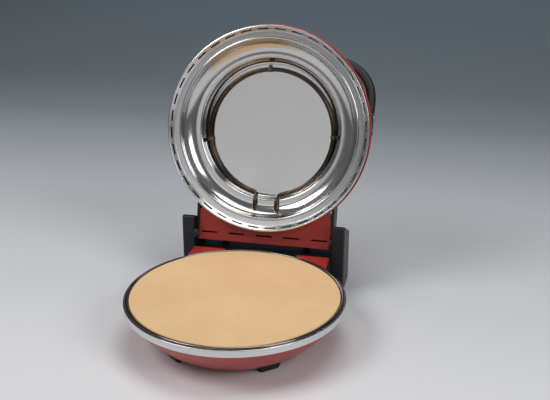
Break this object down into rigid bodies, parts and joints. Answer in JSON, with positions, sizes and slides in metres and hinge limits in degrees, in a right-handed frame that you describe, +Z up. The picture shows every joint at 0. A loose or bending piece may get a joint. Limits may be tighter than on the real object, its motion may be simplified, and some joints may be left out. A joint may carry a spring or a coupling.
{
  "type": "countertop pizza oven",
  "caption": "Round electric pizza cooker: stone-floored base with a tubular heater under it, and a domed lid with a second heater on a rear hinge.",
  "frame": {"origin": "centre of the baking stone's top face", "axes": "+Z up, square to the stone's top; +Y from the stone's centre towards the lid hinge at the back; -Y is the front; +X to the right seen from the front"},
  "size_m": [0.362, 0.5382, 0.4553],
  "materials": {
    "stone": "fired refractory clay, unglazed, fine grain",
    "bright_steel": "bright rolled stainless steel, mirror-like",
    "satin_steel": "satin stainless steel with a fine turned grain",
    "red_paint": "baked red enamel, semi-gloss",
    "heater_tube": "oxidised heater tube, dark satin with heat tint",
    "white_ceramic": "unglazed steatite",
    "white_fibre": "mineral-fibre insulation board",
    "black_rubber": "moulded rubber",
    "black_plastic": "heat-proof moulded plastic, fine satin grain",
    "screw_steel": "zinc-plated steel",
    "pale_plastic": "moulded terminal plastic",
    "red_lens": "moulded lens",
    "green_lens": "moulded lens"
  },
  "bodies": {
    "base": {"pizza_stone": "stone", "base_tray": "bright_steel", "trim_band": "satin_steel", "base_bowl": "red_paint", "lower_heater": "heater_tube", "lower_heater_clips": "satin_steel", "lower_heater_sleeves": "white_ceramic", "base_insulation": "white_fibre", "front_feet": "black_rubber", "rear_feet": "black_rubber", "rear_deck": "red_paint", "hinge_base": "black_plastic", "hinge_base_cover": "black_plastic", "cover_screws": "screw_steel", "hinge_post_left": "black_plastic", "hinge_post_right": "black_plastic", "post_screws": "screw_steel", "cord_gland": "black_plastic", "terminal_block": "pale_plastic", "lid_bumpers": "black_rubber"},
    "lid": {"lid_ring": "satin_steel", "lid_pan": "bright_steel", "upper_heater": "heater_tube", "upper_heater_clips": "satin_steel", "upper_heater_sleeves": "white_ceramic", "lid_insulation": "white_fibre", "lid_dome": "red_paint", "hinge_hood": "red_paint", "hinge_cheek_left": "black_plastic", "hinge_cheek_right": "black_plastic", "hinge_pins": "screw_steel", "cheek_screws": "screw_steel", "handle": "black_plastic", "handle_screws": "screw_steel", "control_bezel": "black_plastic", "thermostat": "satin_steel", "pilot_lamp_power": "red_lens", "pilot_lamp_heat": "green_lens"},
    "knob": {"thermostat_knob": "black_plastic", "thermostat_shaft": "screw_steel"}
  },
  "joints": [
    {"name": "lid_hinge", "type": "hinge", "parent": "base", "child": "lid", "pos_m": [0, 0.192, 0.015], "axis": [1, 0, 0], "range_deg": [0, 104]},
    {"name": "thermostat_turn", "type": "hinge", "parent": "lid", "child": "knob", "pos_m": [0, 0.3054, 0.1846], "axis": [0, -0.9703, 0.2419], "range_deg": [0, 270]}
  ]
}
